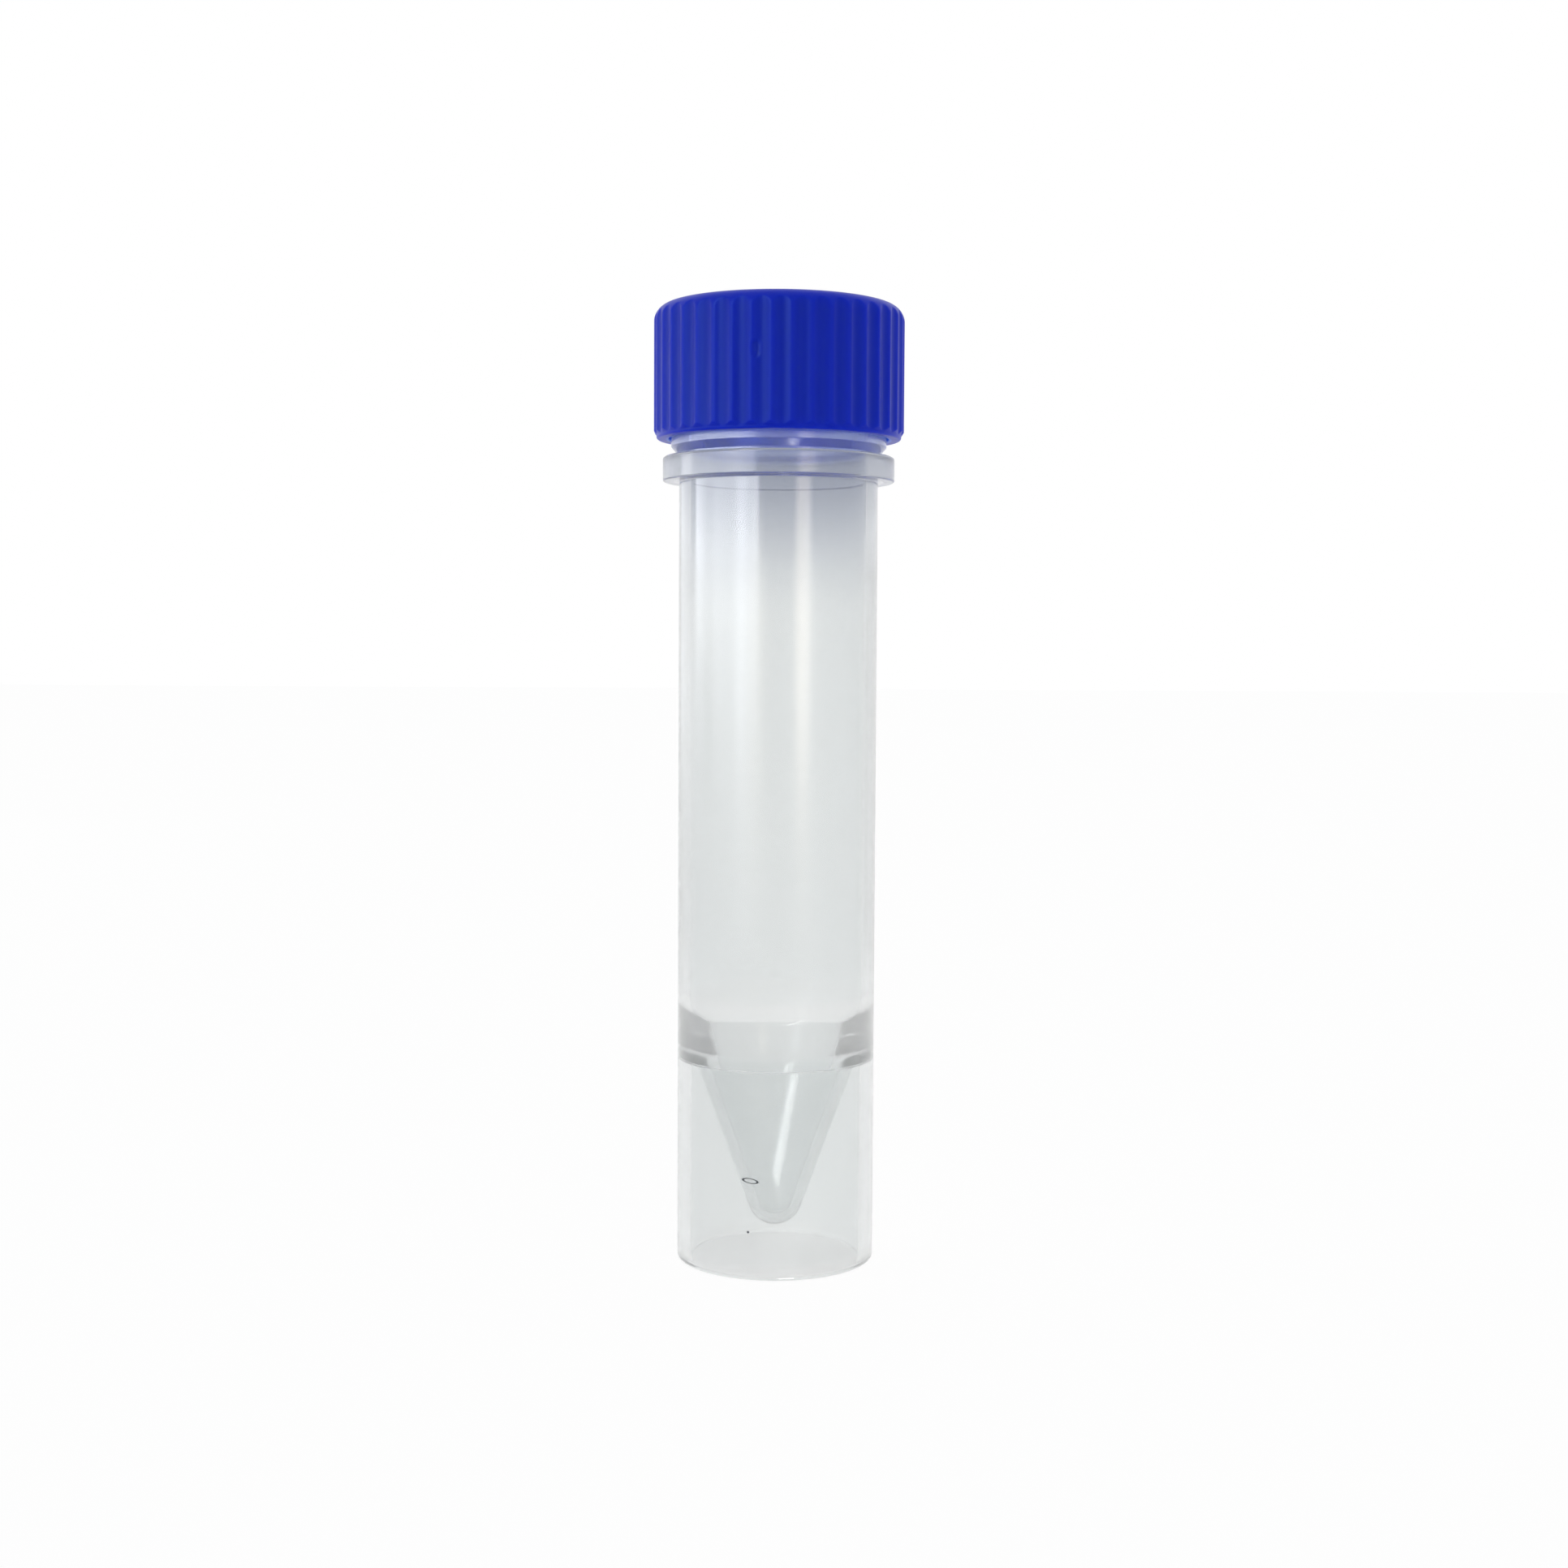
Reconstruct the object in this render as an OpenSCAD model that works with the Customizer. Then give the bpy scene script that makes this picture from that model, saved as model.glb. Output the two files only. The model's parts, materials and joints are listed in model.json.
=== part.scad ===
// Self-standing conical sample tube with a screw cap.
// A translucent tube with a conical bottom inside an open skirt, a fluted screw cap,
// and the soft washer that seals the cap on the tube's rim.
// Millimetres, +Z up, origin at the centre of the ring that the tube stands on.

/* [Tube body] */
// Height of the tube from its standing ring to its rim
tube_h = 76.8; // [60:0.1:100]
// Outer diameter of the straight body
body_d = 16.4; // [15:0.1:19]
// Wall of the straight body
body_wall = 0.95; // [0.7:0.05:1.2]

/* [Conical bottom] */
// Angle between the cone's wall and the tube's axis
cone_angle = 19.8; // [17:0.2:24]
// Outer radius of the cone's round tip
tip_r = 2.3; // [1.8:0.1:2.8]
// Wall of the cone and its tip
cone_wall = 0.9; // [0.6:0.05:1.2]
// Rounding where the bore runs into the cone
bore_round = 2.2; // [0.5:0.1:4]
// Height of the tip above the surface that the tube stands on
tip_gap = 2.75; // [1:0.05:4]

/* [Skirt] */
// Wall of the skirt
skirt_wall = 1.1; // [0.8:0.05:1.4]
// Width of the flat ledge between the cone and the skirt, on the underside
ledge_w = 0.4; // [0.2:0.05:0.8]
// Rounding of the ledge's outer corner
ledge_round = 0.25; // [0.1:0.05:0.4]
// Rounding of the standing ring's edges
foot_round = 0.3; // [0.1:0.05:0.38]

/* [Collar] */
// Height of the neck, from the collar's underside to the rim
neck_h = 12.15; // [11.5:0.05:15]
// Thickness of the collar
collar_h = 2; // [1.5:0.1:2.5]
// How far the collar stands out from the body
collar_w = 1.35; // [0.8:0.05:2]
// Rounding of the collar's outer edges
collar_round = 0.2; // [0.1:0.05:0.5]

/* [Neck] */
// Wall of the neck under its thread
neck_wall = 0.8; // [0.6:0.05:1.2]
// How far the plain shoulder over the collar stands out from the neck
shoulder_w = 0.3; // [0.1:0.05:0.4]
// Height of the plain shoulder over the collar
shoulder_h = 0.25; // [0.1:0.05:0.5]
// How far the guide bead stands out from the neck
bead_w = 0.83; // [0.7:0.01:1.1]
// Height of the bead's plain land
bead_h = 0.93; // [0.5:0.01:1.2]
// Height of the slope under the bead
bead_slope = 0.6; // [0.3:0.01:0.7]
// Rounding of the rim's edges
rim_round = 0.2; // [0.1:0.05:0.28]

/* [Thread] */
// Rise of the thread in one turn
pitch = 3; // [2.6:0.1:3.4]
// Turns of thread on the neck, and in the cap
turns = 1.5; // [1:0.25:1.5]
// Height of the neck's thread
thread_h = 0.65; // [0.4:0.05:0.8]
// Width of a thread at its root
thread_root_w = 1.3; // [1:0.05:1.4]
// Width of a thread at its crest
thread_crest_w = 0.6; // [0.3:0.05:0.8]
// Distance from the rim down to the middle of the neck thread's upper end
thread_top = 1.9; // [1.6:0.1:2.4]
// Angle over which each end of a thread runs out
run_out = 30; // [15:5:60]

/* [Cap] */
// Thickness of the cap's top
cap_top = 1.4; // [1:0.1:2]
// Wall of the cap at its plain band
cap_wall = 1.03; // [0.8:0.01:1.5]
// Gap between the collar and the cap's mouth
cap_lift = 1.45; // [0.8:0.05:1.6]
// Rounding of the cap's upper edge
cap_round = 1.35; // [0.6:0.05:1.5]
// Rounding of the cap's lower edge
mouth_round = 0.15; // [0.05:0.05:0.3]
// Depth of the centring lip below the rim
lip_depth = 1.6; // [1:0.1:2.5]
// Wall of the centring lip
lip_wall = 0.9; // [0.6:0.05:1.2]

/* [Ribs] */
// Number of ribs round the cap, with a hollow flute between each two
rib_count = 40; // [32:1:44]
// How far the ribs stand out from the plain band
rib_h = 0.22; // [0.15:0.01:0.4]
// Width of the narrow land along each rib
land_w = 0.25; // [0.1:0.01:0.5]
// How far the flutes' floors stand out from the plain band
floor_step = 0.02; // [0.01:0.01:0.05]
// Plain band between the cap's mouth and the ribs
band_h = 0.3; // [0.2:0.05:1]
// Height over which the ribs' lower ends slope out from the band
rib_slope = 0.32; // [0.2:0.01:0.6]

/* [Gate mark] */
// Width of the oval mark in the cap's side
gate_w = 0.6; // [0.3:0.05:0.9]
// Height of the oval mark
gate_h = 1.35; // [1:0.05:2]
// Depth of the mark, from the ribs' crests
gate_depth = 0.25; // [0.1:0.01:0.4]
// Distance of the mark's middle below the top of the cap
gate_drop = 4.75; // [3:0.05:7]
// Angle of the mark from the rib nearest the front
gate_angle = -7.2; // [-9:0.1:9]

/* [Sealing washer] */
// Thickness of the washer
seal_t = 0.8; // [0.5:0.05:1.2]

/* [Fits] */
// Radial clearance between the neck's bead and the cap
bead_fit = 0.17; // [0.1:0.01:0.3]
// Radial clearance between the cap's thread and the neck
thread_fit = 0.15; // [0.1:0.01:0.25]
// Clearance between the flanks of the two threads, along the axis
flank_fit = 0.12; // [0.06:0.01:0.2]
// Radial clearance between the centring lip and the bore
lip_fit = 0.12; // [0.05:0.01:0.2]
// Radial clearance round the washer, inside and outside
seal_fit = 0.1; // [0.05:0.01:0.2]

/* [Hidden] */

// Facets of a full circle in a preview, steps in a quarter of a rounding, steps in a turn of thread
round_fn = 96;
arc_steps = 6;
tip_steps = 10;
thread_steps = 36;
// How deep a ridge is rooted in the wall that carries it
root = 0.3;
// Direction of the rib nearest the front
front_rib = -93.2;

// Radii from the bore outwards
body_r = body_d / 2;
bore_r = body_r - body_wall;
neck_r = bore_r + neck_wall;
shoulder_r = neck_r + shoulder_w;
bead_r = neck_r + bead_w;
crest_r = neck_r + thread_h;
collar_r = body_r + collar_w;
cap_bore_r = max(bead_r, crest_r) + bead_fit;
band_r = cap_bore_r + cap_wall;
rib_r = band_r + rib_h;
floor_r = band_r + floor_step;
lip_r = bore_r - lip_fit;
skirt_r = body_r - skirt_wall;
ledge_r = skirt_r - ledge_w;

// Heights from the standing ring upwards
tip_z = tip_gap + tip_r;
inner_tip_r = tip_r - cone_wall;
ledge_z = tip_z + (ledge_r - tip_r / cos(cone_angle)) / tan(cone_angle);
collar_z = tube_h - neck_h;
shoulder_z = collar_z + collar_h;
bead_z = shoulder_z + shoulder_h + bead_slope;
bead_top_z = bead_z + bead_h;
roof_z = tube_h + seal_t;
top_z = roof_z + cap_top;
mouth_z = shoulder_z + cap_lift;
rib_z = mouth_z + band_h;
// Height of the centre of the rounding between the bore and the cone
bore_round_z = tip_z + ((bore_r - bore_round) * cos(cone_angle) + bore_round - inner_tip_r) / sin(cone_angle);

// The two threads follow one helix, and the cap's lies under the neck's
neck_thread_z = tube_h - thread_top - turns * pitch;
cap_crest_r = neck_r + thread_fit;
cap_thread_h = cap_bore_r - cap_crest_r;
flank = (thread_root_w - thread_crest_w) / 2 / thread_h;
cap_flank = (thread_root_w - thread_crest_w) / 2 / cap_thread_h;
// Half widths of the neck's and the cap's thread at the radius r
function neck_half(r) = thread_root_w / 2 - flank * (r - neck_r);
function cap_half(r) = thread_root_w / 2 - cap_flank * (cap_bore_r - r);
thread_step_down = flank_fit + max(neck_half(cap_crest_r) + cap_half(cap_crest_r),
                                   neck_half(crest_r) + cap_half(crest_r));
cap_thread_z = neck_thread_z - thread_step_down;

// Points of an arc about c, from the angle a to the angle b
function arc(c, r, a, b, steps = arc_steps) =
    [for (i = [0:steps]) c + r * [cos(a + (b - a) * i / steps), sin(a + (b - a) * i / steps)]];

// A ridge wound round the axis. Its flanks widen towards the wall that carries it,
// which lies inside the ridge (side = 1) or outside it (side = -1).
module helical_ridge(wall_r, height, z, side) {
    steps = ceil(turns * thread_steps);
    slope = (thread_root_w - thread_crest_w) / 2 / height;
    // Height of the ridge's crest at the angle a: it runs out into the wall at both ends
    function rise(a) = min(1, min(a, turns * 360 - a) / run_out) * (height + 0.05) - 0.05;
    function at(a, h, half) =
        [(wall_r + side * h) * cos(a), (wall_r + side * h) * sin(a), z + pitch * a / 360 + half];
    function half(h) = thread_root_w / 2 - slope * h;
    section = [for (i = [0:steps]) let (a = i * turns * 360 / steps, h = rise(a))
        [at(a, -root, -half(-root)), at(a, h, -half(h)), at(a, h, half(h)), at(a, -root, half(-root))]];
    points = [for (s = section) each s];
    last = 4 * steps;
    sides = [for (i = [0:steps - 1], k = [0:3])
        let (p = 4 * i + k, q = 4 * i + (k + 1) % 4) each [[p, p + 4, q], [q, p + 4, q + 4]]];
    ends = [[0, 1, 2], [0, 2, 3], [last, last + 2, last + 1], [last, last + 3, last + 2]];
    faces = concat(sides, ends);
    polyhedron(points, [for (f = faces) side < 0 ? f : [f[2], f[1], f[0]]]);
}

// Outline of the tube's wall: under the cone, round the foot, up the outside and down the bore
function tube_outline() = concat(
    arc([0, tip_z], tip_r, -90, -cone_angle, tip_steps),
    [[ledge_r, ledge_z]],
    arc([skirt_r - ledge_round, ledge_z - ledge_round], ledge_round, 90, 0),
    arc([skirt_r + foot_round, foot_round], foot_round, 180, 270),
    arc([body_r - foot_round, foot_round], foot_round, 270, 360),
    [[body_r, collar_z]],
    arc([collar_r - collar_round, collar_z + collar_round], collar_round, -90, 0),
    arc([collar_r - collar_round, shoulder_z - collar_round], collar_round, 0, 90),
    [[shoulder_r, shoulder_z], [shoulder_r, shoulder_z + shoulder_h],
     [bead_r, bead_z], [bead_r, bead_top_z], [neck_r, bead_top_z + bead_w]],
    arc([neck_r - rim_round, tube_h - rim_round], rim_round, 0, 90),
    arc([bore_r + rim_round, tube_h - rim_round], rim_round, 90, 180),
    arc([bore_r - bore_round, bore_round_z], bore_round, 0, -cone_angle),
    arc([0, tip_z], inner_tip_r, -cone_angle, -90, tip_steps)
);

module tube() {
    color([0.87, 0.89, 0.9, 0.6])
    union() {
        rotate_extrude($fn = round_fn) polygon(tube_outline());
        helical_ridge(neck_r, thread_h, neck_thread_z, 1);
    }
}

// Outline of the cap over its ribs, with the centring lip under its top
function cap_outline() = concat(
    [[0, roof_z]],
    [[lip_r - lip_wall, roof_z]],
    [[lip_r - lip_wall, tube_h - lip_depth]],
    arc([lip_r - lip_wall / 2, tube_h - lip_depth], lip_wall / 2, 180, 360),
    [[lip_r, roof_z], [cap_bore_r, roof_z]],
    arc([cap_bore_r + mouth_round, mouth_z + mouth_round], mouth_round, 180, 270),
    arc([band_r - mouth_round, mouth_z + mouth_round], mouth_round, 270, 360),
    [[band_r, rib_z], [rib_r, rib_z + rib_slope]],
    arc([rib_r - cap_round, top_z - cap_round], cap_round, 0, 90, tip_steps),
    [[0, top_z]]
);

// The hollow flutes: round cuts down the cap's side that leave a land between each two
module flutes() {
    step = 360 / rib_count;
    reach = rib_r * cos(step / 2 - asin(land_w / 2 / rib_r));
    // Radius of the circle that touches the floor and meets the ribs' radius at the lands' edges
    flute_r = (floor_r * floor_r + rib_r * rib_r - 2 * floor_r * reach) / (2 * (reach - floor_r));
    for (k = [0:rib_count - 1])
        rotate([0, 0, front_rib + (k + 0.5) * step])
        translate([floor_r + flute_r, 0, mouth_z])
        cylinder(r = flute_r, h = top_z - mouth_z + 1, $fn = 64);
}

// The oval mark that moulding leaves in the cap's side
module gate_mark() {
    straight = gate_h - gate_w;
    rotate([0, 0, front_rib + gate_angle])
    translate([rib_r - gate_depth, 0, top_z - gate_drop])
    rotate([90, 0, 90])
    linear_extrude(gate_depth + rib_h) {
        translate([0, straight / 2]) circle(d = gate_w, $fn = 24);
        translate([0, -straight / 2]) circle(d = gate_w, $fn = 24);
        square([gate_w, straight], center = true);
    }
}

module cap() {
    color([0.13, 0.2, 0.66])
    difference() {
        union() {
            rotate_extrude($fn = round_fn) polygon(cap_outline());
            helical_ridge(cap_bore_r, cap_thread_h, cap_thread_z, -1);
        }
        flutes();
        gate_mark();
    }
}

module sealing_washer() {
    inner_r = lip_r + seal_fit;
    outer_r = cap_bore_r - seal_fit;
    edge = seal_t / 4;
    color([0.9, 0.9, 0.88])
    rotate_extrude($fn = round_fn) polygon(concat(
        arc([inner_r + edge, tube_h + edge], edge, 180, 270),
        arc([outer_r - edge, tube_h + edge], edge, 270, 360),
        arc([outer_r - edge, roof_z - edge], edge, 0, 90),
        arc([inner_r + edge, roof_z - edge], edge, 90, 180)
    ));
}

tube();
cap();
sealing_washer();
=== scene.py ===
import json
import math

import bmesh
import bpy
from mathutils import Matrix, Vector


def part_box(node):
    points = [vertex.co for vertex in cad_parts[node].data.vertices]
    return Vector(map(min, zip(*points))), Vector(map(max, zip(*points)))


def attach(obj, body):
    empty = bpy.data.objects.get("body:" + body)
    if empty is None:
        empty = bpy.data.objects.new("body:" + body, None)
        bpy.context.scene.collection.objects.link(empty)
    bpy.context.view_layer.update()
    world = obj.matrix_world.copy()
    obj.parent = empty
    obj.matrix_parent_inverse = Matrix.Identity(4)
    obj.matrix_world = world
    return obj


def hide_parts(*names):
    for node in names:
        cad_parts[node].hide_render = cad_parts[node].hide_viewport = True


# Looks for a self-standing conical sample tube with a screw cap.
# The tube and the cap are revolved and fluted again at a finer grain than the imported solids, so
# that their clear walls bend light smoothly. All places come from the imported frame.

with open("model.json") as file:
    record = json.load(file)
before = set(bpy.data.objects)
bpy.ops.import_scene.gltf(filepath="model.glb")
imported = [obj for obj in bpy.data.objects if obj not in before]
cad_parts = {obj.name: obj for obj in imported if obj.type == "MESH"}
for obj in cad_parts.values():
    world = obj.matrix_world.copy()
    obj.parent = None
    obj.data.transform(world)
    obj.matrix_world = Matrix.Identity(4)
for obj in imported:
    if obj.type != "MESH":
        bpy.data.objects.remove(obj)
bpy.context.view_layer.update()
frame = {"record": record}

MM = 0.001

# ---------------------------------------------------------------- sizes, in millimetres

tube_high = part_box("tube")[1] / MM
cap_low, cap_high = [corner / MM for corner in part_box("cap")]
washer_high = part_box("sealing_washer")[1] / MM
mounts = {mount["name"]: mount for mount in frame["record"]["mounts"]}

RIM_Z = tube_high.z
ROOF_Z = washer_high.z
TOP_Z = cap_high.z
MOUTH_Z = cap_low.z
COLLAR_Z = mounts["collar_seat"]["pos_m"][2] / MM
BODY_R = mounts["body"]["dims"]["r_mm"]
COLLAR_R = tube_high.x

# The walls, the collar, and the neck with its shoulder and guide bead
BODY_WALL = 0.95
NECK_WALL = 0.8
COLLAR_H = 2.0
SHOULDER_W = 0.3
SHOULDER_H = 0.25
BEAD_W = 0.83
BEAD_SLOPE = 0.6
BEAD_H = 0.93
BORE_R = BODY_R - BODY_WALL
NECK_R = BORE_R + NECK_WALL
SHOULDER_R = NECK_R + SHOULDER_W
SHOULDER_Z = COLLAR_Z + COLLAR_H
BEAD_R = NECK_R + BEAD_W
BEAD_Z = SHOULDER_Z + SHOULDER_H + BEAD_SLOPE
BEAD_TOP_Z = BEAD_Z + BEAD_H

# The cone, its round tip and the skirt round it
CONE_ANGLE = math.radians(19.8)
TIP_R = 2.3
INNER_TIP_R = 1.4
TIP_Z = 2.75
INNER_TIP_Z = TIP_Z + TIP_R - INNER_TIP_R
BORE_ROUND = 2.2
SKIRT_WALL = 1.1
LEDGE_W = 0.4
SKIRT_R = BODY_R - SKIRT_WALL
LEDGE_R = SKIRT_R - LEDGE_W

# The screw thread
PITCH = 3.0
TURNS = 1.5
THREAD_H = 0.65
ROOT_W = 1.3
CREST_W = 0.6
RUN_OUT = math.radians(30)
FLANK_PLAY = 0.12
THREAD_TOP = 1.9
NECK_THREAD_Z = RIM_Z - THREAD_TOP - TURNS * PITCH

# The cap
BEAD_PLAY = 0.17
THREAD_PLAY = 0.15
CAP_WALL = 1.03
CAP_ROUND = 1.35
CAP_BORE_R = BEAD_R + BEAD_PLAY
CAP_THREAD_H = CAP_BORE_R - NECK_R - THREAD_PLAY
VALLEY_R = CAP_BORE_R + CAP_WALL

# Its ribs, which start over a plain band, and the direction of the rib nearest the front
RIBS = 40
RIB_H = 0.22
RIB_SLOPE = 0.7
CREST_ROUND = 0.4
BAND_H = 0.3
RIB_R = VALLEY_R + RIB_H
RIB_Z = MOUTH_Z + BAND_H
FRONT_RIB = math.radians(-93.2)

# The lip that centres it in the bore, and the washer round the lip
LIP_PLAY = 0.12
LIP_WALL = 0.9
LIP_DEPTH = 1.6
LIP_R = BORE_R - LIP_PLAY
LIP_Z = RIM_Z - LIP_DEPTH - LIP_WALL / 2
WASHER_PLAY = 0.1
WASHER_ROUND = 0.2

# The oval mark where the plastic was let into the mould
GATE_W = 0.6
GATE_H = 1.35
GATE_DEPTH = 0.12
GATE_DROP = 4.75
GATE_ANGLE = FRONT_RIB + math.radians(-7.2)
GATE_Z = TOP_Z - GATE_DROP

# How close two points are when they are one: in an outline, and in a mesh, which is in metres
SAME_POINT = 1e-4
MERGE = 1e-6


def colour(hex_code):
    """An sRGB hex colour as the linear red, green, blue and alpha that a shader wants."""
    channels = [int(hex_code[i:i + 2], 16) / 255 for i in (1, 3, 5)]
    linear = [c / 12.92 if c <= 0.04045 else ((c + 0.055) / 1.055) ** 2.4 for c in channels]
    return (*linear, 1.0)


def add(tree, kind, inputs=(), **settings):
    """Adds a node with its settings, and joins or fills its inputs, given in order or by name."""
    node = tree.nodes.new(kind)
    for name, value in settings.items():
        setattr(node, name, value)
    pairs = inputs.items() if isinstance(inputs, dict) else enumerate(inputs)
    for key, value in pairs:
        socket = node.inputs[key]
        if isinstance(key, str) and not socket.enabled:
            socket = next(s for s in node.inputs if s.name == key and s.enabled)
        if isinstance(value, bpy.types.Node):
            value = next(s for s in value.outputs if s.enabled)
        if isinstance(value, bpy.types.NodeSocket):
            tree.links.new(value, socket)
        else:
            socket.default_value = value
    return node


def placed(name, data):
    """A new object in the scene, which shows a mesh, a lamp or a lens."""
    made = bpy.data.objects.new(name, data)
    bpy.context.scene.collection.objects.link(made)
    return made


# ---------------------------------------------------------------- outlines

def rounded(corners, step=math.radians(15), support=0.05):
    """An outline through corners of (r, z, radius): each corner is an arc between two close
    points, so that the long walls on its sides shade flat."""
    points = []
    for i, (r, z, radius) in enumerate(corners):
        here = Vector((r, z))
        if radius == 0:
            points.append(here)
            continue
        back = Vector(corners[i - 1][:2]) - here
        ahead = Vector(corners[i + 1][:2]) - here
        turn = math.pi - back.angle(ahead)
        reach = radius * math.tan(turn / 2)
        back_room, ahead_room = back.length, ahead.length
        back.normalize()
        ahead.normalize()
        centre = here + (back + ahead).normalized() * radius / math.cos(turn / 2)
        start = here + back * reach - centre
        side = 1 if start.cross(here - centre) > 0 else -1
        steps = max(2, math.ceil(turn / step))
        if back_room - reach > 3 * support:
            points.append(here + back * (reach + support))
        for k in range(steps + 1):
            a = side * turn * k / steps
            x = start.x * math.cos(a) - start.y * math.sin(a)
            y = start.x * math.sin(a) + start.y * math.cos(a)
            points.append(centre + Vector((x, y)))
        if ahead_room - reach > 3 * support:
            points.append(here + ahead * (reach + support))
    kept = [points[0]]
    for point in points[1:]:
        if (point - kept[-1]).length > SAME_POINT:
            kept.append(point)
    return kept


def divided(points, wall_r, spacing):
    """The outline with more points along its straight wall at the radius wall_r."""
    out = [points[0]]
    for a, b in zip(points, points[1:]):
        on_wall = max(abs(a.x - wall_r), abs(b.x - wall_r)) < SAME_POINT
        steps = max(1, math.ceil((b - a).length / spacing)) if on_wall else 1
        out += [a.lerp(b, k / steps) for k in range(1, steps + 1)]
    return out


def tip_corner(radius):
    """Where a round tip's floor would meet the cone, which puts the tip's centre on the axis."""
    return radius * math.tan((math.pi / 2 - CONE_ANGLE) / 2)


def cone_z(r, tip_r):
    """The height at which a cone wall round a tip of the radius tip_r reaches the radius r."""
    return TIP_Z + TIP_R + (r - tip_r / math.cos(CONE_ANGLE)) / math.tan(CONE_ANGLE)


def tube_outline():
    ledge_z = cone_z(LEDGE_R, TIP_R)
    corners = [
        (0, TIP_Z, 0),
        (tip_corner(TIP_R), TIP_Z, TIP_R),
        (LEDGE_R, ledge_z, 0.15),
        (SKIRT_R, ledge_z, 0.2),
        (SKIRT_R, 0, 0.3),
        (BODY_R, 0, 0.35),
        (BODY_R, COLLAR_Z, 0.1),
        (COLLAR_R, COLLAR_Z, 0.15),
        (COLLAR_R, SHOULDER_Z, 0.2),
        (SHOULDER_R, SHOULDER_Z, 0.06),
        (SHOULDER_R, SHOULDER_Z + SHOULDER_H, 0.06),
        (BEAD_R, BEAD_Z, 0.1),
        (BEAD_R, BEAD_TOP_Z, 0.15),
        (NECK_R, BEAD_TOP_Z + BEAD_R - NECK_R, 0.1),
        (NECK_R, RIM_Z, 0.2),
        (BORE_R, RIM_Z, 0.2),
        (BORE_R, cone_z(BORE_R, INNER_TIP_R), BORE_ROUND),
        (tip_corner(INNER_TIP_R), INNER_TIP_Z, INNER_TIP_R),
        (0, INNER_TIP_Z, 0),
    ]
    return divided(rounded(corners, step=math.radians(10)), NECK_R, spacing=0.08)


def cap_outline():
    """The cap's outline along a flute. The round of its upper edge starts at the ribs' crests, so
    it cuts the flutes off in arches."""
    corners = [
        (0, ROOF_Z, 0),
        (LIP_R - LIP_WALL, ROOF_Z, 0.2),
        (LIP_R - LIP_WALL, LIP_Z, 0.4),
        (LIP_R, LIP_Z, 0.4),
        (LIP_R, ROOF_Z, 0.1),
        (CAP_BORE_R, ROOF_Z, 0.15),
        (CAP_BORE_R, MOUTH_Z, 0.15),
        (VALLEY_R, MOUTH_Z, 0.2),
        (VALLEY_R, RIB_Z, 0),
    ]
    inside = divided(rounded(corners, step=math.radians(9)), CAP_BORE_R, spacing=0.17)
    centre = Vector((RIB_R - CAP_ROUND, TOP_Z - CAP_ROUND))
    arch = math.acos((VALLEY_R - centre.x) / CAP_ROUND)
    arch_z = centre.y + CAP_ROUND * math.sin(arch)
    # Close rows where the ribs end and where the gate mark is pressed in, wide ones between
    rib_ends = spread(RIB_Z - 0.03, RIB_Z + 0.45, spacing=0.06)
    gate = spread(GATE_Z - 0.9, GATE_Z + 0.9, spacing=0.11)
    arches = spread(centre.y, arch_z, spacing=0.07)
    under_gate, over_gate = 71.0, 76.5
    heights = rib_ends + [under_gate] + gate + [over_gate] + arches
    wall = [Vector((VALLEY_R, z)) for z in heights]
    over = [centre + CAP_ROUND * Vector((math.cos(a), math.sin(a)))
            for a in spread(arch + 0.04, math.pi / 2, spacing=0.1)]
    return inside[:-1] + wall + over + [Vector((centre.x - 0.05, TOP_Z)), Vector((0, TOP_Z))]


def spread(low, high, spacing):
    """Evenly spaced numbers from low to high, about the spacing apart."""
    steps = math.ceil((high - low) / spacing)
    return [low + (high - low) * k / steps for k in range(steps + 1)]


def rib_room(point):
    """How far a rib may stand out at a point of the cap's outline: its lower end slopes, and the
    round of the cap's upper edge takes its top."""
    if point.x < VALLEY_R - SAME_POINT or point.y < RIB_Z:
        return 0.0
    over = max(0.0, point.y - (TOP_Z - CAP_ROUND))
    crest = RIB_R - CAP_ROUND + math.sqrt(CAP_ROUND ** 2 - over ** 2)
    return max(0.0, min(crest - VALLEY_R, RIB_SLOPE * (point.y - RIB_Z)))


def washer_outline():
    inner_r = LIP_R + WASHER_PLAY
    outer_r = CAP_BORE_R - WASHER_PLAY
    middle_r = (inner_r + outer_r) / 2
    corners = [
        (middle_r, RIM_Z, 0),
        (outer_r, RIM_Z, WASHER_ROUND),
        (outer_r, ROOF_Z, WASHER_ROUND),
        (inner_r, ROOF_Z, WASHER_ROUND),
        (inner_r, RIM_Z, WASHER_ROUND),
        (middle_r, RIM_Z, 0),
    ]
    return rounded(corners)


def outline_object(name, points, room=lambda point: 0.0):
    """A chain of points in the XZ plane. Y holds how far the surface may stand out there."""
    mesh = bpy.data.meshes.new(name)
    verts = [(p.x * MM, room(p) * MM, p.y * MM) for p in points]
    mesh.from_pydata(verts, [(i, i + 1) for i in range(len(verts) - 1)], [])
    return placed(name, mesh)


# ---------------------------------------------------------------- geometry node trees

# What the thread's tree is given, and what the trees that use it pass on to it
THREAD_SIZES = ("Wall radius", "Rise", "Start", "Pitch", "Turns", "Root width", "Crest width",
                "Run out")


def new_tree(name, sockets):
    """A geometry node tree with a geometry input and output and the named inputs."""
    tree = bpy.data.node_groups.new(name, "GeometryNodeTree")
    tree.interface.new_socket("Geometry", in_out="INPUT", socket_type="NodeSocketGeometry")
    for label, kind in sockets.items():
        tree.interface.new_socket(label, in_out="INPUT", socket_type="NodeSocket" + kind)
    tree.interface.new_socket("Geometry", in_out="OUTPUT", socket_type="NodeSocketGeometry")
    return tree, add(tree, "NodeGroupInput").outputs


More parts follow.
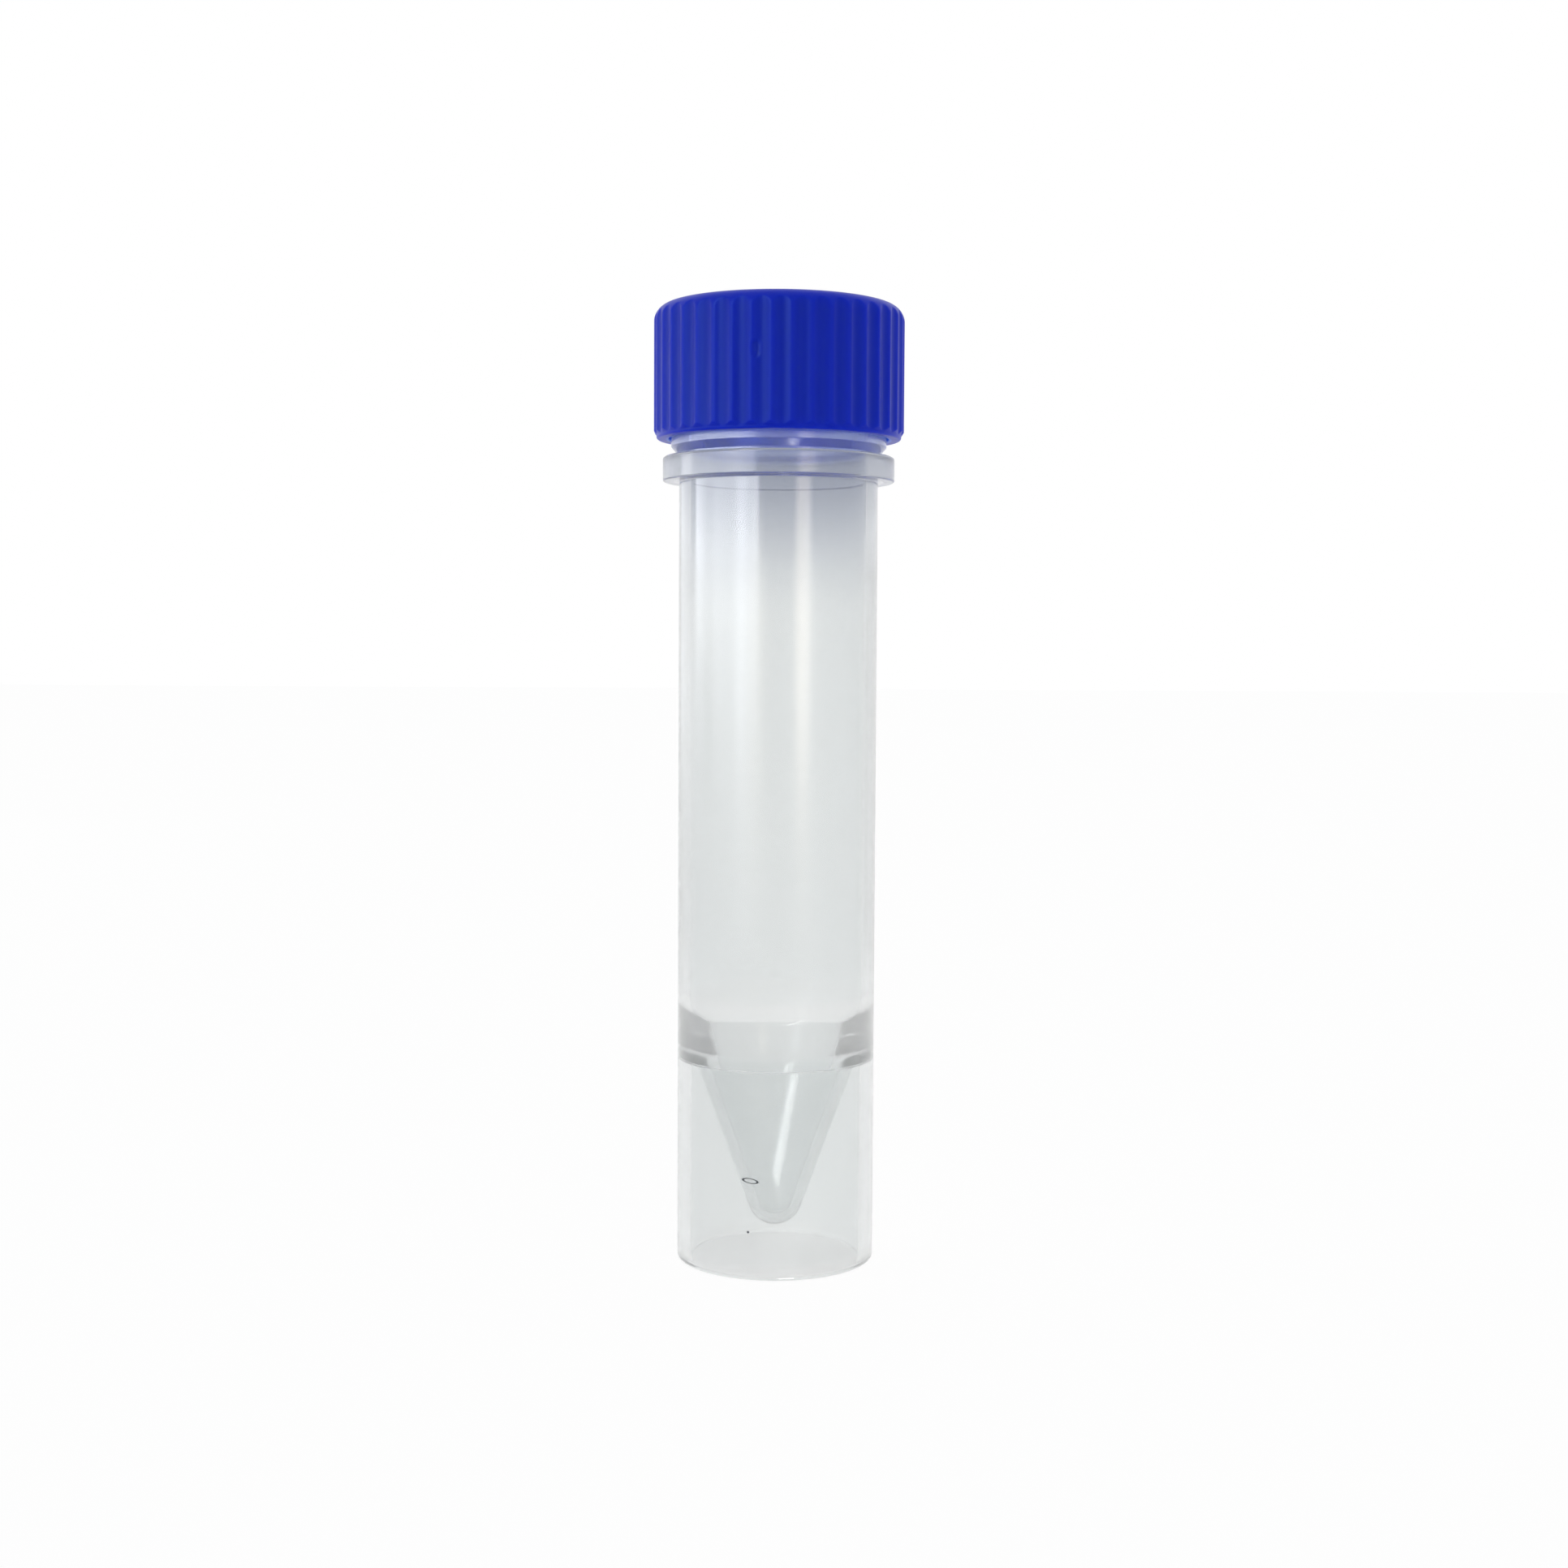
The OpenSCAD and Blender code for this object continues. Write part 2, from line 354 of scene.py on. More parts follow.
def grown(outline, tree, values, name):
    """The plain mesh object that a tree makes of an outline."""
    modifier = outline.modifiers.new("grown", "NODES")
    modifier.node_group = tree
    for item in tree.interface.items_tree:
        if item.in_out == "INPUT" and item.name in values:
            modifier[item.identifier] = values[item.name]
    depsgraph = bpy.context.evaluated_depsgraph_get()
    mesh = bpy.data.meshes.new_from_object(outline.evaluated_get(depsgraph), depsgraph=depsgraph)
    bpy.data.objects.remove(outline)
    work = bmesh.new()
    work.from_mesh(mesh)
    bmesh.ops.recalc_face_normals(work, faces=work.faces)
    if work.calc_volume(signed=True) < 0:
        bmesh.ops.reverse_faces(work, faces=work.faces)
    work.to_mesh(mesh)
    work.free()
    mesh.shade_smooth()
    mesh.name = name
    return placed(name, mesh)


def outline_point(tree, geometry, columns):
    """A sheet with a row for each point of the outline, the point that its row follows, split into
    radius, room and height, and its column's number."""
    rows = add(tree, "GeometryNodeAttributeDomainSize", [geometry]).outputs["Point Count"]
    across = add(tree, "FunctionNodeIntegerMath", [columns, 1], operation="ADD")
    sheet = add(tree, "GeometryNodeMeshGrid", {"Vertices X": across, "Vertices Y": rows})
    number = add(tree, "GeometryNodeInputIndex")
    row = add(tree, "FunctionNodeIntegerMath", [number, rows], operation="MODULO")
    column = add(tree, "FunctionNodeIntegerMath", [number, rows], operation="DIVIDE_FLOOR")
    place = add(tree, "GeometryNodeInputPosition")
    point = add(tree, "GeometryNodeSampleIndex",
                {"Geometry": geometry, "Value": place, "Index": row}, data_type="FLOAT_VECTOR")
    split = add(tree, "ShaderNodeSeparateXYZ", [point])
    return sheet.outputs["Mesh"], split.outputs, column


def round_axis(tree, radius, angle, height):
    """The point at a radius and angle round the axis, at a height."""
    cosine = add(tree, "ShaderNodeMath", [angle], operation="COSINE")
    sine = add(tree, "ShaderNodeMath", [angle], operation="SINE")
    x = add(tree, "ShaderNodeMath", [radius, cosine], operation="MULTIPLY")
    y = add(tree, "ShaderNodeMath", [radius, sine], operation="MULTIPLY")
    return add(tree, "ShaderNodeCombineXYZ", [x, y, height])


def arc_dip(tree, off, radius):
    """How far an arc of a radius has fallen away from its top at a distance to the side."""
    flat = add(tree, "ShaderNodeMath", [off, radius], operation="DIVIDE")
    within = add(tree, "ShaderNodeMath", [flat, 1.0], operation="MINIMUM")
    tilt = add(tree, "ShaderNodeMath", [within], operation="ARCSINE")
    level = add(tree, "ShaderNodeMath", [tilt], operation="COSINE")
    fallen = add(tree, "ShaderNodeMath", [1.0, level], operation="SUBTRACT")
    return add(tree, "ShaderNodeMath", [fallen, radius], operation="MULTIPLY")


def finish_tree(tree, geometry, material):
    """Closes seams and poles, and ends the tree in plain faces of one material."""
    merged = add(tree, "GeometryNodeMergeByDistance", {"Geometry": geometry, "Distance": MERGE})
    plain = add(tree, "GeometryNodeRealizeInstances", [merged])
    named = add(tree, "GeometryNodeSetMaterial", {"Geometry": plain, "Material": material})
    add(tree, "NodeGroupOutput", [named])


def thread_tree():
    """Winds a screw thread out of the wall at one radius: a ridge with sloping flanks that runs
    out into the wall at both ends."""
    tree, given = new_tree("screw_thread", dict.fromkeys(THREAD_SIZES, "Float"))
    place = add(tree, "ShaderNodeSeparateXYZ", [add(tree, "GeometryNodeInputPosition")])
    x, y, z = place.outputs
    angle = add(tree, "ShaderNodeMath", [y, x], operation="ARCTAN2")
    part_turn = add(tree, "ShaderNodeMath", [angle, math.tau], operation="DIVIDE")
    squared = add(tree, "ShaderNodeMath", [x, x], operation="MULTIPLY")
    squared = add(tree, "ShaderNodeMath", [y, y, squared], operation="MULTIPLY_ADD")
    radius = add(tree, "ShaderNodeMath", [squared], operation="SQRT")
    # The nearest turn of the helix, the distance to it along the axis, the turns from its start
    above = add(tree, "ShaderNodeMath", [z, given["Start"]], operation="SUBTRACT")
    climbed = add(tree, "ShaderNodeMath", [above, given["Pitch"]], operation="DIVIDE")
    loose = add(tree, "ShaderNodeMath", [climbed, part_turn], operation="SUBTRACT")
    turn = add(tree, "ShaderNodeMath", [loose], operation="ROUND")
    off = add(tree, "ShaderNodeMath", [loose, turn], operation="SUBTRACT")
    off = add(tree, "ShaderNodeMath", [off], operation="ABSOLUTE")
    distance = add(tree, "ShaderNodeMath", [off, given["Pitch"]], operation="MULTIPLY")
    along = add(tree, "ShaderNodeMath", [part_turn, turn], operation="ADD")
    to_end = add(tree, "ShaderNodeMath", [given["Turns"], along], operation="SUBTRACT")
    end = add(tree, "ShaderNodeMath", [along, to_end], operation="MINIMUM")
    end_angle = add(tree, "ShaderNodeMath", [end, math.tau], operation="MULTIPLY")
    end_share = add(tree, "ShaderNodeMath", [end_angle, given["Run out"]], operation="DIVIDE")
    root = add(tree, "ShaderNodeMath", [given["Root width"], 0.5], operation="MULTIPLY")
    crest = add(tree, "ShaderNodeMath", [given["Crest width"], 0.5], operation="MULTIPLY")
    flank = add(tree, "ShaderNodeMapRange", [distance, root, crest, 0.0, 1.0])
    share = add(tree, "ShaderNodeMath", [flank, end_share], operation="MINIMUM")
    share = add(tree, "ShaderNodeMath", [share, 0.0], operation="MAXIMUM")
    rise = add(tree, "ShaderNodeMath", [share, given["Rise"]], operation="MULTIPLY")
    per_radius = add(tree, "ShaderNodeMath", [rise, radius], operation="DIVIDE")
    flat = add(tree, "ShaderNodeCombineXYZ", [x, y, 0.0])
    offset = add(tree, "ShaderNodeVectorMath", {0: flat, "Scale": per_radius}, operation="SCALE")
    on_wall = add(tree, "ShaderNodeMath", [radius, given["Wall radius"], 0.01 * MM],
                  operation="COMPARE")
    moved = add(tree, "GeometryNodeSetPosition",
                {"Geometry": given["Geometry"], "Selection": on_wall, "Offset": offset})
    add(tree, "NodeGroupOutput", [moved])
    return tree


def with_thread(tree, shell, thread, given):
    """The shell with the thread wound on its threaded wall."""
    sizes = {label: given[label] for label in THREAD_SIZES}
    return add(tree, "GeometryNodeGroup", {"Geometry": shell, **sizes}, node_tree=thread)


def revolve_tree(thread):
    """Turns an outline round the axis, and winds the thread on its threaded wall."""
    tree, given = new_tree("threaded_revolve", {
        "Segments": "Int", **dict.fromkeys(THREAD_SIZES, "Float"), "Material": "Material"})
    sheet, (radius, _, height), column = outline_point(
        tree, given["Geometry"], given["Segments"])
    turned = add(tree, "ShaderNodeMath", [column, math.tau], operation="MULTIPLY")
    angle = add(tree, "ShaderNodeMath", [turned, given["Segments"]], operation="DIVIDE")
    place = round_axis(tree, radius, angle, height)
    shell = add(tree, "GeometryNodeSetPosition", {"Geometry": sheet, "Position": place})
    finish_tree(tree, with_thread(tree, shell, thread, given), given["Material"])
    return tree


def fluted_tree(thread):
    """Makes one sector of a ribbed cap from its outline and repeats it round the axis, then winds
    the thread on its bore and presses the oval gate mark into its side."""
    tree, given = new_tree("fluted_cap", {
        "Ribs": "Int", "Columns": "Int", "First rib": "Float", "Rib radius": "Float",
        "Rib height": "Float", "Crest round": "Float", "Flute round": "Float",
        **dict.fromkeys(THREAD_SIZES, "Float"),
        "Mark centre": "Vector", "Mark width": "Float", "Mark height": "Float",
        "Mark depth": "Float", "Material": "Material"})
    sheet, (radius, room, height), column = outline_point(
        tree, given["Geometry"], given["Columns"])
    part = add(tree, "ShaderNodeMath", [column, given["Columns"]], operation="DIVIDE")
    middle = add(tree, "ShaderNodeMath", [part, 0.5], operation="SUBTRACT")
    sector = add(tree, "ShaderNodeMath", [math.tau, given["Ribs"]], operation="DIVIDE")
    angle = add(tree, "ShaderNodeMath", [middle, sector], operation="MULTIPLY")
    arc = add(tree, "ShaderNodeMath", [angle, given["Rib radius"]], operation="MULTIPLY")
    off = add(tree, "ShaderNodeMath", [arc], operation="ABSOLUTE")
    # A round crest and half a hollow flute on each side of it: arcs that meet without a kink
    crest_dip = arc_dip(tree, off, given["Crest round"])
    crest = add(tree, "ShaderNodeMath", [given["Rib height"], crest_dip], operation="SUBTRACT")
    pitch = add(tree, "ShaderNodeMath", [sector, given["Rib radius"]], operation="MULTIPLY")
    half_pitch = add(tree, "ShaderNodeMath", [pitch, 0.5], operation="MULTIPLY")
    from_flute = add(tree, "ShaderNodeMath", [half_pitch, off], operation="SUBTRACT")
    flute = arc_dip(tree, from_flute, given["Flute round"])
    both = add(tree, "ShaderNodeMath", [given["Crest round"], given["Flute round"]],
               operation="ADD")
    share = add(tree, "ShaderNodeMath", [given["Crest round"], both], operation="DIVIDE")
    meet = add(tree, "ShaderNodeMath", [share, half_pitch], operation="MULTIPLY")
    on_crest = add(tree, "ShaderNodeMath", [off, meet], operation="LESS_THAN")
    full = add(tree, "GeometryNodeSwitch", {"Switch": on_crest, "False": flute, "True": crest},
               input_type="FLOAT")
    rise = add(tree, "ShaderNodeMath", [full, room], operation="MINIMUM")
    ribbed = add(tree, "ShaderNodeMath", [radius, rise], operation="ADD")
    flank = add(tree, "GeometryNodeSetPosition",
                {"Geometry": sheet, "Position": round_axis(tree, ribbed, angle, height)})
    # One sector for each rib
    spots = add(tree, "GeometryNodePoints", {"Count": given["Ribs"]})
    number = add(tree, "GeometryNodeInputIndex")
    stepped = add(tree, "ShaderNodeMath", [number, sector, given["First rib"]],
                  operation="MULTIPLY_ADD")
    turned = add(tree, "ShaderNodeCombineXYZ", [0.0, 0.0, stepped])
    ring = add(tree, "GeometryNodeInstanceOnPoints",
               {"Points": spots, "Instance": flank, "Rotation": turned})
    shell = add(tree, "GeometryNodeRealizeInstances", [ring])
    joined = add(tree, "GeometryNodeMergeByDistance", {"Geometry": shell, "Distance": MERGE})
    threaded = with_thread(tree, joined, thread, given)
    # The gate mark is a shallow oval dip, whose soft edge lies half its width from its middle
    place = add(tree, "GeometryNodeInputPosition")
    away = add(tree, "ShaderNodeVectorMath", [place, given["Mark centre"]], operation="SUBTRACT")
    gap = add(tree, "ShaderNodeSeparateXYZ", [away])
    side = add(tree, "ShaderNodeCombineXYZ", [gap.outputs["X"], gap.outputs["Y"], 0.0])
    sideways = add(tree, "ShaderNodeVectorMath", [side], operation="LENGTH").outputs["Value"]
    across = add(tree, "ShaderNodeMath", [sideways, given["Mark width"]], operation="DIVIDE")
    up = add(tree, "ShaderNodeMath", [gap.outputs["Z"], given["Mark height"]], operation="DIVIDE")
    ratio = add(tree, "ShaderNodeCombineXYZ", [across, up, 0.0])
    ratio = add(tree, "ShaderNodeVectorMath", [ratio], operation="LENGTH").outputs["Value"]
    dip = add(tree, "ShaderNodeMapRange", [ratio, 0.62, 0.38, 0.0, 1.0],
              interpolation_type="SMOOTHSTEP")
    depth = add(tree, "ShaderNodeMath", [dip, given["Mark depth"]], operation="MULTIPLY")
    outward = add(tree, "ShaderNodeVectorMath", [place, (1.0, 1.0, 0.0)], operation="MULTIPLY")
    outward = add(tree, "ShaderNodeVectorMath", [outward], operation="NORMALIZE")
    inward = add(tree, "ShaderNodeMath", [depth, -1.0], operation="MULTIPLY")
    press = add(tree, "ShaderNodeVectorMath", {0: outward, "Scale": inward}, operation="SCALE")
    marked = add(tree, "GeometryNodeSetPosition", {"Geometry": threaded, "Offset": press})
    finish_tree(tree, marked, given["Material"])
    return tree


def thread_values(wall_r, rise, start):
    """The thread's sizes in metres, under the names of the trees' inputs."""
    sizes = {"Wall radius": wall_r, "Rise": rise, "Start": start, "Pitch": PITCH,
             "Root width": ROOT_W, "Crest width": CREST_W}
    values = {label: size * MM for label, size in sizes.items()}
    values["Turns"] = TURNS
    values["Run out"] = RUN_OUT
    return values


# ---------------------------------------------------------------- materials

def new_material(name):
    """A material with a Principled shader, and that shader."""
    made = bpy.data.materials.new(name)
    made.use_nodes = True
    made.node_tree.nodes.clear()
    shader = add(made.node_tree, "ShaderNodeBsdfPrincipled")
    return made, made.node_tree, shader


def mark(tree, where, place, size, tilt=0.0):
    """How far a point is from a mark's middle, in half widths of the mark. Places and half widths
    are in millimetres, and the tilt is about Y."""
    near = add(tree, "ShaderNodeMapping", {
        "Vector": where, "Location": [v * MM for v in place], "Rotation": (0.0, tilt, 0.0),
        "Scale": [v * MM for v in size]}, vector_type="TEXTURE")
    return add(tree, "ShaderNodeVectorMath", [near], operation="LENGTH").outputs["Value"]


def from_axis(tree, where):
    """A point's distance from the axis, and its height."""
    x, y, height = add(tree, "ShaderNodeSeparateXYZ", [where]).outputs
    across = add(tree, "ShaderNodeCombineXYZ", [x, y, 0.0])
    radius = add(tree, "ShaderNodeVectorMath", [across], operation="LENGTH").outputs["Value"]
    return radius, height


def moulded_polypropylene():
    """Natural polypropylene, injection moulded: clear but slightly milky, with faint flow lines
    along the tube. Its colour darkens and cools up to the neck as painted shade from the cap,
    and the neck is painted light blue for the cap's light."""
    made, tree, shader = new_material("natural_polypropylene_moulded")
    where = add(tree, "ShaderNodeTexCoord").outputs["Object"]
    # Flow lines run along the tube, 2 to 4 mm apart round it and tens of millimetres long
    flow = add(tree, "ShaderNodeMapping", {"Vector": where, "Scale": (300.0, 300.0, 12.0)})
    lines = add(tree, "ShaderNodeTexNoise", {"Vector": flow, "Scale": 1.0, "Detail": 2.0})
    milk = add(tree, "ShaderNodeMapRange", [lines.outputs["Fac"], 0.3, 0.7, 0.14, 0.11])
    matt = add(tree, "ShaderNodeMapRange", [lines.outputs["Fac"], 0.3, 0.7, 0.19, 0.15])
    radius, height = from_axis(tree, where)
    # The thick bottom of the bore and the foot look milkier and whiter than the wall
    thick_z, thick_half, thick_fade = 20.1 * MM, 2.0 * MM, 0.6 * MM
    foot_h, foot_fade = 0.6 * MM, 0.8 * MM
    from_core = add(tree, "ShaderNodeMath", [height, thick_z], operation="SUBTRACT")
    from_core = add(tree, "ShaderNodeMath", [from_core], operation="ABSOLUTE")
    core = add(tree, "ShaderNodeMapRange",
               [from_core, thick_half, thick_half + thick_fade, 1.0, 0.0])
    foot = add(tree, "ShaderNodeMapRange", [height, foot_h, foot_h + foot_fade, 1.0, 0.0])
    thick = add(tree, "ShaderNodeMath", [core, foot], operation="MAXIMUM")
    milkier = add(tree, "ShaderNodeMapRange", [thick, 0.0, 1.0, 1.0, 1.7])
    milk = add(tree, "ShaderNodeMath", [milk, milkier], operation="MULTIPLY")
    haze = add(tree, "ShaderNodeMath", [1.0, milk], operation="SUBTRACT")
    # Painted shade: the colour darkens and cools up to the neck, standing for the cap's shade
    shade_low, shade_high = 53.0 * MM, 74.0 * MM
    climb = add(tree, "ShaderNodeMapRange", [height, shade_low, shade_high, 0.0, 1.0],
                interpolation_type="SMOOTHSTEP")
    neck = add(tree, "ShaderNodeMapRange",
               [height, SHOULDER_Z * MM, (SHOULDER_Z + 0.2) * MM, 0.0, 1.0])
    wall = add(tree, "ShaderNodeMix", {"Factor": climb, "A": colour("#f3f5f5"),
                                       "B": colour("#a6adbe")}, data_type="RGBA")
    whiter = add(tree, "ShaderNodeMix", {"Factor": thick, "A": wall.outputs["Result"],
                                         "B": colour("#fafbfb")}, data_type="RGBA")
    # Painted light: above the shoulder the neck is light blue, standing for the cap's light in it
    tint = add(tree, "ShaderNodeMix", {"Factor": neck, "A": whiter.outputs["Result"],
                                       "B": colour("#d2dcf6")}, data_type="RGBA")
    # A hair-fine loop was moulded in at the front, and specks of dust under and far above it
    loop = mark(tree, where, (-1.97, -7.96, 8.16), (0.6, 0.8, 0.18), math.radians(8))
    loop = add(tree, "ShaderNodeMath", [loop, 1.0], operation="SUBTRACT")
    loop = add(tree, "ShaderNodeMath", [loop], operation="ABSOLUTE")
    dark = add(tree, "ShaderNodeMapRange", [loop, 0.1, 0.25, 1.0, 0.0])
    for place in ((-2.13, -7.92, 3.97), (-8.19, -0.4, 52.9)):
        speck = mark(tree, where, place, (0.12, 0.12, 0.12))
        speck = add(tree, "ShaderNodeMapRange", [speck, 0.7, 1.0, 1.0, 0.0])
        dark = add(tree, "ShaderNodeMath", [dark, speck], operation="MAXIMUM")
    tint = add(tree, "ShaderNodeMix", {"Factor": dark, "A": tint.outputs["Result"],
                                       "B": colour("#30353f")}, data_type="RGBA")
    clean = add(tree, "ShaderNodeMapRange", [dark, 0.0, 1.0, 1.0, 0.3])
    haze = add(tree, "ShaderNodeMath", [haze, clean], operation="MULTIPLY")
    # The tool is polished round the cone and under the collar, and matt at collar and neck
    under = add(tree, "ShaderNodeMapRange", [height, 57.0 * MM, 62.0 * MM, 1.0, 0.12])
    rim = add(tree, "ShaderNodeMapRange",
              [radius, (BODY_R + 0.2) * MM, (BODY_R + 0.5) * MM, 0.0, 1.0])
    frosted = add(tree, "ShaderNodeMath", [neck, rim], operation="MAXIMUM")
    above = add(tree, "ShaderNodeMath", [under, frosted], operation="MAXIMUM")
    lower = add(tree, "ShaderNodeMapRange", [height, 20.0 * MM, 28.0 * MM, 0.4, 1.0])
    polish = add(tree, "ShaderNodeMath", [above, lower], operation="MULTIPLY")
    polish = add(tree, "ShaderNodeMath", [polish, matt], operation="MULTIPLY")
    tree.links.new(tint.outputs["Result"], shader.inputs["Base Color"])
    tree.links.new(haze.outputs[0], shader.inputs["Transmission Weight"])
    tree.links.new(polish.outputs[0], shader.inputs["Roughness"])
    shader.inputs["IOR"].default_value = 1.49
    # Lamps shine through the thin wall
    path = add(tree, "ShaderNodeLightPath")
    clear = add(tree, "ShaderNodeBsdfTransparent", [colour("#ffffff")])
    mixed = add(tree, "ShaderNodeMixShader", [path.outputs["Is Shadow Ray"], shader, clear])
    add(tree, "ShaderNodeOutputMaterial", [mixed])
    return made


def blue_polyethylene():
    """Polyethylene coloured blue in the mass, moulded in a spark-eroded tool: even colour that
    lets some light through the wall, a lighter blue painted inside for the glow of that light, and
    a waxy satin skin with a fine grain."""
    made, tree, shader = new_material("blue_polyethylene_moulded")
    where = add(tree, "ShaderNodeTexCoord").outputs["Object"]
    # Colour streaks of the masterbatch, a few millimetres long
    streak = add(tree, "ShaderNodeMapping", {"Vector": where, "Scale": (400.0, 400.0, 160.0)})
    cloud = add(tree, "ShaderNodeTexNoise", {"Vector": streak, "Scale": 1.0, "Detail": 4.0})
    skin = add(tree, "ShaderNodeMix", {"Factor": cloud.outputs["Fac"], "A": colour("#1226b0"),
                                       "B": colour("#152bba")}, data_type="RGBA")
    # Painted glow: the inside is a lighter blue, for the light that comes through the wall
    radius, height = from_axis(tree, where)
    within = add(tree, "ShaderNodeMapRange",
                 [radius, (CAP_BORE_R + 0.1) * MM, (CAP_BORE_R + 0.3) * MM, 1.0, 0.0])
    under = add(tree, "ShaderNodeMapRange",
                [height, (TOP_Z - 0.7) * MM, (TOP_Z - 0.5) * MM, 1.0, 0.0])
    painted_glow = add(tree, "ShaderNodeMath", [within, under], operation="MULTIPLY")
    tint = add(tree, "ShaderNodeMix", {"Factor": painted_glow, "A": skin.outputs["Result"],
                                       "B": colour("#3a74e6")}, data_type="RGBA")
    # Grain of the eroded tool, about 0.1 mm
    grain = add(tree, "ShaderNodeTexNoise", {"Vector": where, "Scale": 10000.0, "Detail": 2.0})
    bump = add(tree, "ShaderNodeBump", {"Height": grain.outputs["Fac"], "Strength": 0.12,
                                        "Distance": 0.02 * MM})
    polish = add(tree, "ShaderNodeMapRange", [cloud.outputs["Fac"], 0.3, 0.7, 0.30, 0.38])
    tree.links.new(tint.outputs["Result"], shader.inputs["Base Color"])
    tree.links.new(polish.outputs[0], shader.inputs["Roughness"])
    tree.links.new(bump.outputs[0], shader.inputs["Normal"])
    shader.inputs["IOR"].default_value = 1.51
    shader.inputs["Specular IOR Level"].default_value = 0.12
    shader.inputs["Specular Tint"].default_value = colour("#a0d0ff")
    shader.inputs["Subsurface Weight"].default_value = 1.0
    shader.inputs["Subsurface Radius"].default_value = (0.3, 0.5, 2.0)
    shader.inputs["Subsurface Scale"].default_value = 1.0 * MM
    # Some blue light comes through the wall
    path = add(tree, "ShaderNodeLightPath")
    clear = add(tree, "ShaderNodeBsdfTransparent", [colour("#7ea4ff")])
    through = add(tree, "ShaderNodeMath", [path.outputs["Is Shadow Ray"], 0.9],
                  operation="MULTIPLY")
    mixed = add(tree, "ShaderNodeMixShader", [through, shader, clear])
    add(tree, "ShaderNodeOutputMaterial", [mixed])
    return made


def white_silicone():
    """Silicone rubber, die cut: white and matt, with a faint grain."""
    made, tree, shader = new_material("white_silicone_rubber")
    where = add(tree, "ShaderNodeTexCoord").outputs["Object"]
    grain = add(tree, "ShaderNodeTexNoise", {"Vector": where, "Scale": 5000.0, "Detail": 3.0})
    tint = add(tree, "ShaderNodeMix", {"Factor": grain.outputs["Fac"], "A": colour("#dcdcd6"),
                                       "B": colour("#e6e6e1")}, data_type="RGBA")
    bump = add(tree, "ShaderNodeBump", {"Height": grain.outputs["Fac"], "Strength": 0.2,
                                        "Distance": 0.02 * MM})
    tree.links.new(tint.outputs["Result"], shader.inputs["Base Color"])
    tree.links.new(bump.outputs[0], shader.inputs["Normal"])
    shader.inputs["Roughness"].default_value = 0.6
    shader.inputs["IOR"].default_value = 1.41
    add(tree, "ShaderNodeOutputMaterial", [shader])
    return made


# ---------------------------------------------------------------- pieces

def make_tube(revolve):
    values = thread_values(NECK_R, THREAD_H, NECK_THREAD_Z)
    values.update({"Segments": 256, "Material": moulded_polypropylene()})
    tube = grown(outline_object("tube_outline", tube_outline()), revolve, values, "tube_shell")
    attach(tube, "tube")
    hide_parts("tube")


def make_cap(fluted):
    values = thread_values(CAP_BORE_R, -CAP_THREAD_H, NECK_THREAD_Z - thread_step_down())
    gate = Vector((math.cos(GATE_ANGLE), math.sin(GATE_ANGLE), 0)) * (VALLEY_R + RIB_H / 2)
    # The crest's and the flute's arcs together span half a pitch and fall by the ribs' height
    half_pitch = math.pi * VALLEY_R / RIBS
    both_rounds = (half_pitch ** 2 + RIB_H ** 2) / (2 * RIB_H)
    values.update({
        "Ribs": RIBS, "Columns": 12, "First rib": FRONT_RIB, "Rib radius": VALLEY_R * MM,
        "Rib height": RIB_H * MM, "Crest round": CREST_ROUND * MM,
        "Flute round": (both_rounds - CREST_ROUND) * MM,
        "Mark centre": (gate.x * MM, gate.y * MM, GATE_Z * MM), "Mark width": GATE_W * MM,
        "Mark height": GATE_H * MM, "Mark depth": GATE_DEPTH * MM,
        "Material": blue_polyethylene()})
    outline = outline_object("cap_outline", cap_outline(), rib_room)
    cap = grown(outline, fluted, values, "cap_shell")
    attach(cap, "cap")
    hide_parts("cap")


def thread_step_down():
    """How far the cap's thread lies under the neck's, with a little play between their flanks.
    They are closest at the crest of the one or of the other."""
    flank_w = (ROOT_W - CREST_W) / 2
    neck_flank = flank_w / THREAD_H
    cap_flank = flank_w / CAP_THREAD_H

    def halves(above_neck):
        neck = ROOT_W / 2 - neck_flank * above_neck
        cap = ROOT_W / 2 - cap_flank * (CAP_BORE_R - NECK_R - above_neck)
        return neck + cap

    cap_crest = CAP_BORE_R - CAP_THREAD_H - NECK_R
    return FLANK_PLAY + max(halves(cap_crest), halves(THREAD_H))


def make_washer(revolve):
    values = thread_values(0.0, 0.0, 0.0)
    values.update({"Segments": 128, "Material": white_silicone()})
    washer = grown(outline_object("washer_outline", washer_outline()), revolve, values,
                   "washer_ring")
    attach(washer, "washer")
    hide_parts("sealing_washer")


# ---------------------------------------------------------------- studio

def floor():
    """A plain white floor that keeps the object's shadow."""
    mesh = bpy.data.meshes.new("floor")
    half = 3.0
    corners = [(-half, -half, 0), (half, -half, 0), (half, half, 0), (-half, half, 0)]
    mesh.from_pydata(corners, [], [(0, 1, 2, 3)])
    made = placed("floor", mesh)
    paint = bpy.data.materials.new("white_paper")
    paint.use_nodes = True
    tree = paint.node_tree
    tree.nodes.clear()
    matt = add(tree, "ShaderNodeBsdfDiffuse", [colour("#f4f4f4")])
    white = add(tree, "ShaderNodeEmission", [(1.0, 1.0, 1.0, 1.0), 1.0])
    # Within the foot the floor shows its own shade
    where = add(tree, "ShaderNodeTexCoord").outputs["Object"]
    away = add(tree, "ShaderNodeVectorMath", [where], operation="LENGTH").outputs["Value"]
    bare = add(tree, "ShaderNodeMapRange", [away, SKIRT_R * MM, BODY_R * MM, 0.42, 0.96])
    share = add(tree, "ShaderNodeMath", [seen_ray(tree), bare], operation="MULTIPLY")
    mixed = add(tree, "ShaderNodeMixShader", [share, matt, white])
    add(tree, "ShaderNodeOutputMaterial", [mixed])
    mesh.materials.append(paint)


